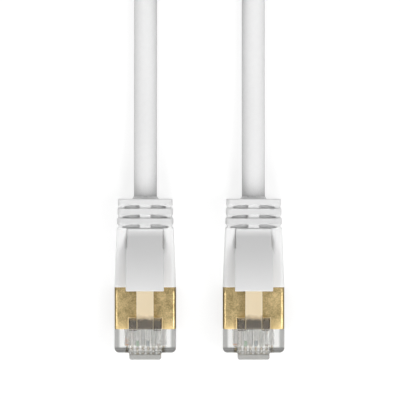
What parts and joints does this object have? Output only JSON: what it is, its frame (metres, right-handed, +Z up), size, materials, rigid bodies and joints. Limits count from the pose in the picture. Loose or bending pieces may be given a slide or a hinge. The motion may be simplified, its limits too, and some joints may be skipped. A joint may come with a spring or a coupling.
{
  "type": "ethernet patch cable",
  "caption": "Shielded network patch cable: two moulded plugs with clear noses, plated shields, pressable latches and ribbed slim boots on one thin cord.",
  "frame": {"origin": "bottom centre of the two plugs lying side by side, on the surface that they lie on", "axes": "+Z up, out of the plugs' latch side; noses point towards -Y and the cord leaves towards +Y; +X runs across the two plugs"},
  "size_m": [0.0322, 0.1489, 0.0118],
  "materials": {
    "clear_plastic": "clear moulded polycarbonate, polished",
    "gold_plated_shield": "gold-plated sheet, satin with fine mottling",
    "gold_contact": "hard gold plate, bright",
    "natural_plastic": "natural moulded polyethylene",
    "foil_screen": "wrapped foil",
    "cable_jacket": "smooth extruded, satin",
    "boot_rubber": "soft moulded, satin, fine grain",
    "tie_plastic": "soft flat-ribbon tie",
    "insulation_orange": "extruded insulation",
    "insulation_white_orange": "white insulation with a coloured stripe",
    "insulation_blue": "extruded insulation",
    "insulation_white_blue": "white insulation with a coloured stripe",
    "insulation_green": "extruded insulation",
    "insulation_white_green": "white insulation with a coloured stripe",
    "insulation_brown": "extruded insulation",
    "insulation_white_brown": "white insulation with a coloured stripe"
  },
  "bodies": {
    "cable_and_plugs": {"housing_a": "clear_plastic", "shield_a": "gold_plated_shield", "contacts_a": "gold_contact", "load_bar_a": "natural_plastic", "cable_screen_a": "foil_screen", "jacket_end_a": "cable_jacket", "crimp_collar_a": "gold_plated_shield", "inner_mould_a": "natural_plastic", "boot_a": "boot_rubber", "cord_lead_a": "cable_jacket", "wire_white_orange_a": "insulation_white_orange", "wire_orange_a": "insulation_orange", "wire_white_green_a": "insulation_white_green", "wire_blue_a": "insulation_blue", "wire_white_blue_a": "insulation_white_blue", "wire_green_a": "insulation_green", "wire_white_brown_a": "insulation_white_brown", "wire_brown_a": "insulation_brown", "housing_b": "clear_plastic", "shield_b": "gold_plated_shield", "contacts_b": "gold_contact", "load_bar_b": "natural_plastic", "cable_screen_b": "foil_screen", "jacket_end_b": "cable_jacket", "crimp_collar_b": "gold_plated_shield", "inner_mould_b": "natural_plastic", "boot_b": "boot_rubber", "cord_lead_b": "cable_jacket", "wire_white_orange_b": "insulation_white_orange", "wire_orange_b": "insulation_orange", "wire_white_green_b": "insulation_white_green", "wire_blue_b": "insulation_blue", "wire_white_blue_b": "insulation_white_blue", "wire_green_b": "insulation_green", "wire_white_brown_b": "insulation_white_brown", "wire_brown_b": "insulation_brown", "cord_hank": "cable_jacket", "cord_tie": "tie_plastic"},
    "latch_a": {"latch_lever_a": "clear_plastic"},
    "guard_a": {"latch_guard_a": "boot_rubber"},
    "latch_b": {"latch_lever_b": "clear_plastic"},
    "guard_b": {"latch_guard_b": "boot_rubber"}
  },
  "joints": [
    {"name": "guard_a_press", "type": "hinge", "parent": "cable_and_plugs", "child": "guard_a", "pos_m": [-0.0103, 0.00895, 0.00755], "axis": [1, 0, 0], "range_deg": [0, 12.1], "stiffness_Nm_per_rad": 0.02},
    {"name": "latch_a_press", "type": "hinge", "parent": "cable_and_plugs", "child": "latch_a", "pos_m": [-0.0103, -0.01412, 0.0063], "axis": [1, 0, 0], "range_deg": [-8.05, 0], "stiffness_Nm_per_rad": 0.01},
    {"name": "guard_b_press", "type": "hinge", "parent": "cable_and_plugs", "child": "guard_b", "pos_m": [0.0103, 0.00895, 0.00755], "axis": [1, 0, 0], "range_deg": [0, 12.1], "stiffness_Nm_per_rad": 0.02},
    {"name": "latch_b_press", "type": "hinge", "parent": "cable_and_plugs", "child": "latch_b", "pos_m": [0.0103, -0.01412, 0.0063], "axis": [1, 0, 0], "range_deg": [-8.05, 0], "stiffness_Nm_per_rad": 0.01}
  ],
  "couplings": [
    {"joint": "latch_a_press", "follows": "guard_a_press", "ratio": -0.661},
    {"joint": "latch_b_press", "follows": "guard_b_press", "ratio": -0.661}
  ]
}
